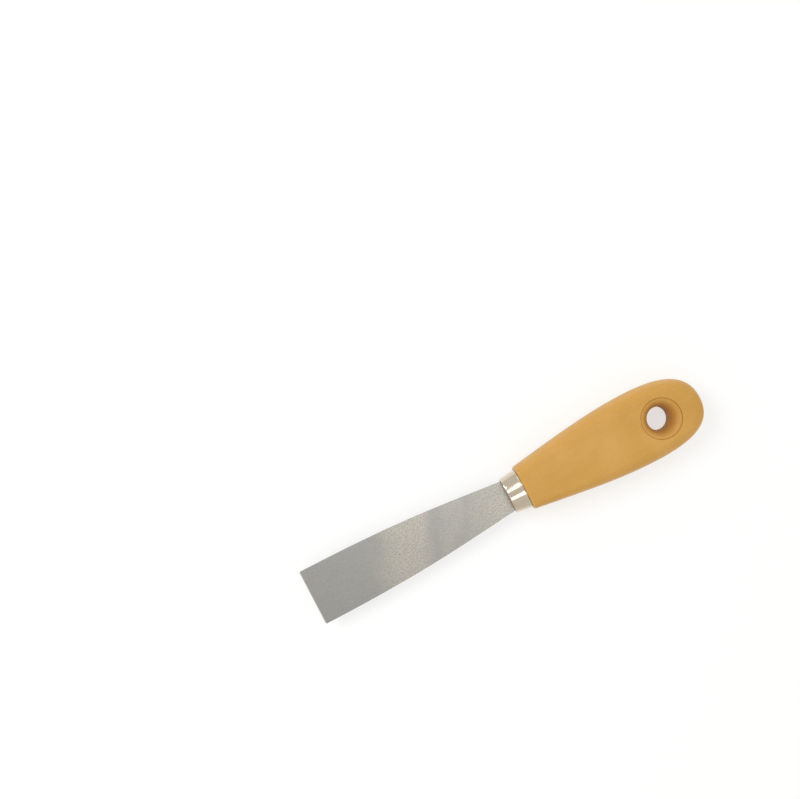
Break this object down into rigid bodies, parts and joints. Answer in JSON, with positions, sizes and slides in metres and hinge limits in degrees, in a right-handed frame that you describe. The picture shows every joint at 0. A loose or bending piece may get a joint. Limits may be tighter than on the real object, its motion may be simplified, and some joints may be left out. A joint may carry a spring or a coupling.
{
  "type": "putty knife",
  "caption": "Narrow flexible putty knife: spring-steel blade with square edge, oval nickel-plated ferrule, ochre lacquered wooden handle with a hanging hole.",
  "frame": {"origin": "under the middle of the knife's box, on the plane that the handle's flat underside lies on", "axes": "+X along the knife from the handle towards the blade's working edge, +Y across the blade, +Z square to the blade's flat faces, up as it lies"},
  "size_m": [0.1884, 0.0322, 0.015],
  "materials": {
    "lacquered_wood": "satin ochre lacquer over fine-grained wood",
    "nickel_plate": "polished, slightly warm",
    "cured_resin": "cast, dull",
    "spring_steel": "ground and lightly polished"
  },
  "bodies": {
    "grip": {"handle": "lacquered_wood", "ferrule": "nickel_plate", "tang_glue": "cured_resin", "blade_heel_and_tang": "spring_steel"},
    "inner_span": {"blade_inner_span": "spring_steel"},
    "middle_span": {"blade_middle_span": "spring_steel"},
    "tip_span": {"blade_tip_span": "spring_steel"}
  },
  "joints": [
    {"name": "flex_inner", "type": "hinge", "parent": "grip", "child": "inner_span", "pos_m": [0.0147, 0, 0.0075], "axis": [0, -1, 0], "range_deg": [-15, 15], "stiffness_Nm_per_rad": 2.66},
    {"name": "flex_middle", "type": "hinge", "parent": "inner_span", "child": "middle_span", "pos_m": [0.0465, 0, 0.0075], "axis": [0, -1, 0], "range_deg": [-10, 10], "stiffness_Nm_per_rad": 2.37},
    {"name": "flex_tip", "type": "hinge", "parent": "middle_span", "child": "tip_span", "pos_m": [0.0783, 0, 0.0075], "axis": [0, -1, 0], "range_deg": [-5, 5], "stiffness_Nm_per_rad": 1.63}
  ]
}
